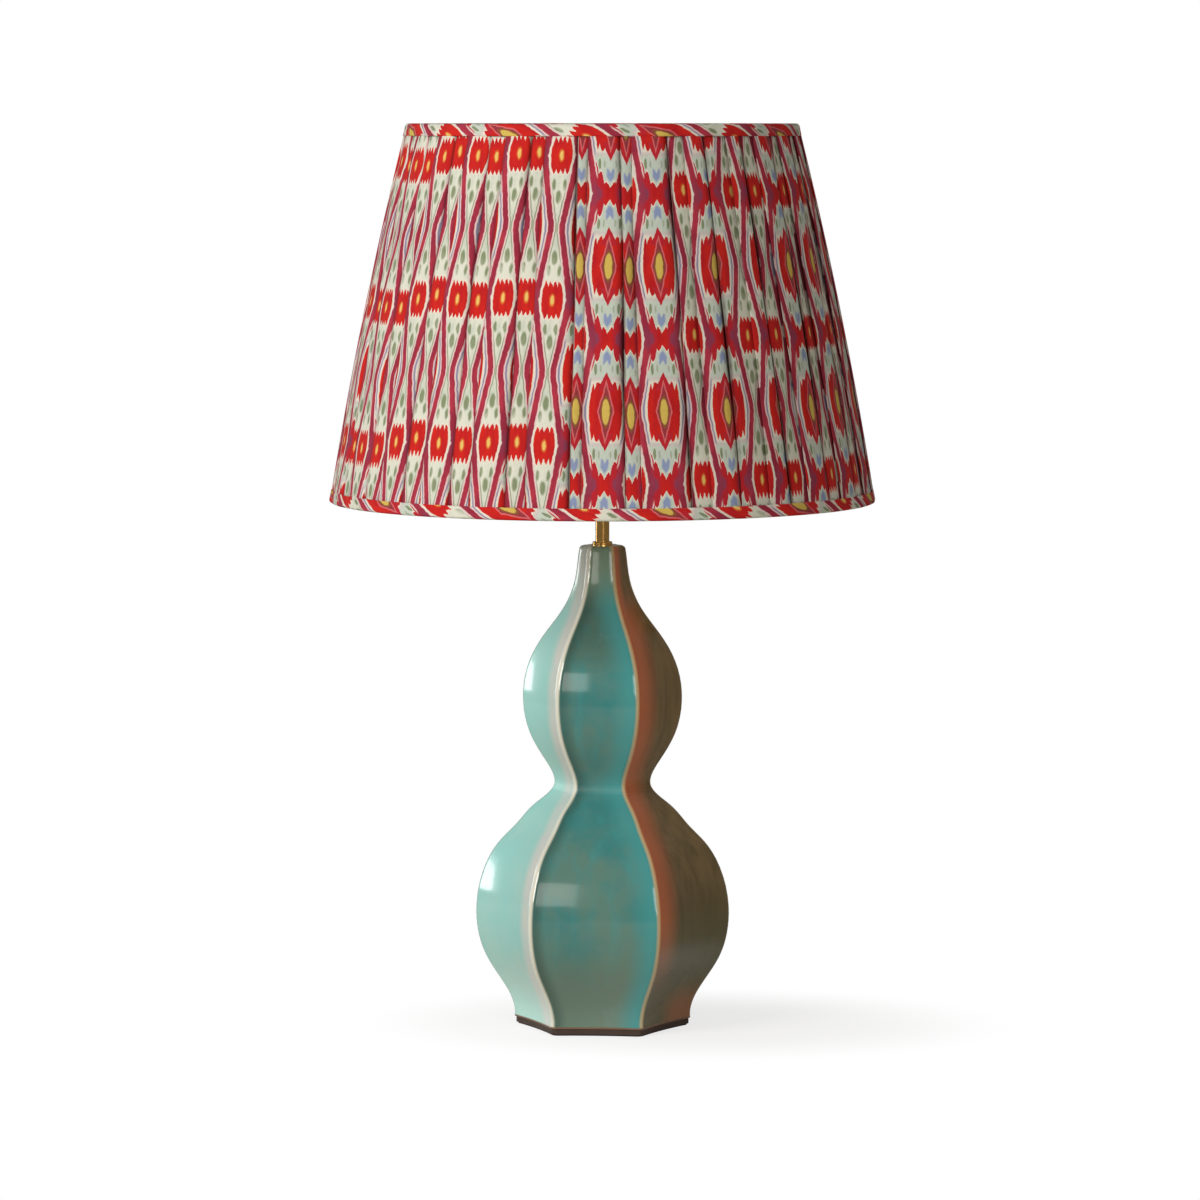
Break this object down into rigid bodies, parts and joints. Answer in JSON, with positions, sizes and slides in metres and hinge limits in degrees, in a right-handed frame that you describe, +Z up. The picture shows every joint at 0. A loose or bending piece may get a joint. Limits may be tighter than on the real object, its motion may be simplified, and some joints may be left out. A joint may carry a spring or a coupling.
{
  "type": "table lamp",
  "caption": "Table lamp with a six-sided double-gourd ceramic body, brass stem, turn-knob lamp holder, wire harp and a pleated cone shade in ikat cloth.",
  "frame": {"origin": "on the floor under the middle of the lamp, at the underside of the felt", "axes": "+Z up the stem, -Y out of the front facet of the gourd, +Y towards the cord inlet"},
  "size_m": [0.4499, 0.45, 0.7442],
  "materials": {
    "glazed_gourd": "glossy crackled celadon glaze, tan where it breaks on the ridges",
    "dark_foot": "matt dark brown",
    "felt": "felt",
    "black_rubber": "satin",
    "zinc_steel": "zinc plated",
    "satin_brass": "satin",
    "socket_brass": "polished",
    "fibre_liner": "pressed fibre",
    "black_phenolic": "moulded",
    "opal_glass": "opal white",
    "bulb_metal": "nickel plated",
    "ikat_cloth": "printed cotton, red and off-white ikat",
    "shade_card": "white laminated card",
    "binding_cloth": "printed cotton cut on the bias"
  },
  "bodies": {
    "lamp_base": {"gourd_body": "glazed_gourd", "base_plate": "dark_foot", "felt_pad": "felt", "cord_grommet": "black_rubber", "threaded_pipe": "zinc_steel", "bottom_washer": "zinc_steel", "bottom_nut": "zinc_steel", "neck_ring": "satin_brass", "brass_stem": "satin_brass", "harp_saddle": "satin_brass", "saddle_nut": "satin_brass", "harp_wire": "satin_brass", "socket_cap": "socket_brass", "socket_set_screw": "zinc_steel", "socket_shell": "socket_brass", "socket_insulator": "fibre_liner", "switch_body": "black_phenolic", "terminal_screws": "socket_brass", "screw_shell": "socket_brass", "centre_contact": "socket_brass"},
    "swivel_stud": {"harp_stud": "satin_brass"},
    "shade": {"shade_cover": "ikat_cloth", "shade_lining": "shade_card", "top_binding": "binding_cloth", "bottom_binding": "binding_cloth", "shade_top_ring": "zinc_steel", "shade_bottom_ring": "zinc_steel", "spider_hub": "zinc_steel", "spider_arms": "zinc_steel"},
    "finial": {"finial": "satin_brass"},
    "bulb": {"bulb_glass": "opal_glass", "bulb_cap": "bulb_metal", "bulb_insulator": "black_phenolic", "bulb_contact": "bulb_metal"},
    "switch_knob": {"switch_shaft": "zinc_steel", "switch_knob": "black_phenolic"},
    "left_sleeve": {"harp_sleeve_left": "satin_brass"},
    "right_sleeve": {"harp_sleeve_right": "satin_brass"}
  },
  "joints": [
    {"name": "shade_swivel", "type": "hinge", "parent": "lamp_base", "child": "swivel_stud", "pos_m": [0, 0, 0.7136], "axis": [0, 0, 1], "continuous": true},
    {"name": "shade_lift", "type": "slide", "parent": "swivel_stud", "child": "shade", "axis": [0, 0, 1], "range_m": [0, 0.33]},
    {"name": "finial_off", "type": "slide", "parent": "shade", "child": "finial", "axis": [0, 0, 1], "range_m": [0, 0.03]},
    {"name": "bulb_out", "type": "slide", "parent": "lamp_base", "child": "bulb", "axis": [0, 0, 1], "range_m": [0, 0.045]},
    {"name": "switch_turn", "type": "hinge", "parent": "lamp_base", "child": "switch_knob", "pos_m": [0, -0.0195, 0.4846], "axis": [0, -1, 0], "continuous": true},
    {"name": "left_sleeve_lift", "type": "slide", "parent": "lamp_base", "child": "left_sleeve", "axis": [0, 0, 1], "range_m": [0, 0.018]},
    {"name": "right_sleeve_lift", "type": "slide", "parent": "lamp_base", "child": "right_sleeve", "axis": [0, 0, 1], "range_m": [0, 0.018]}
  ]
}
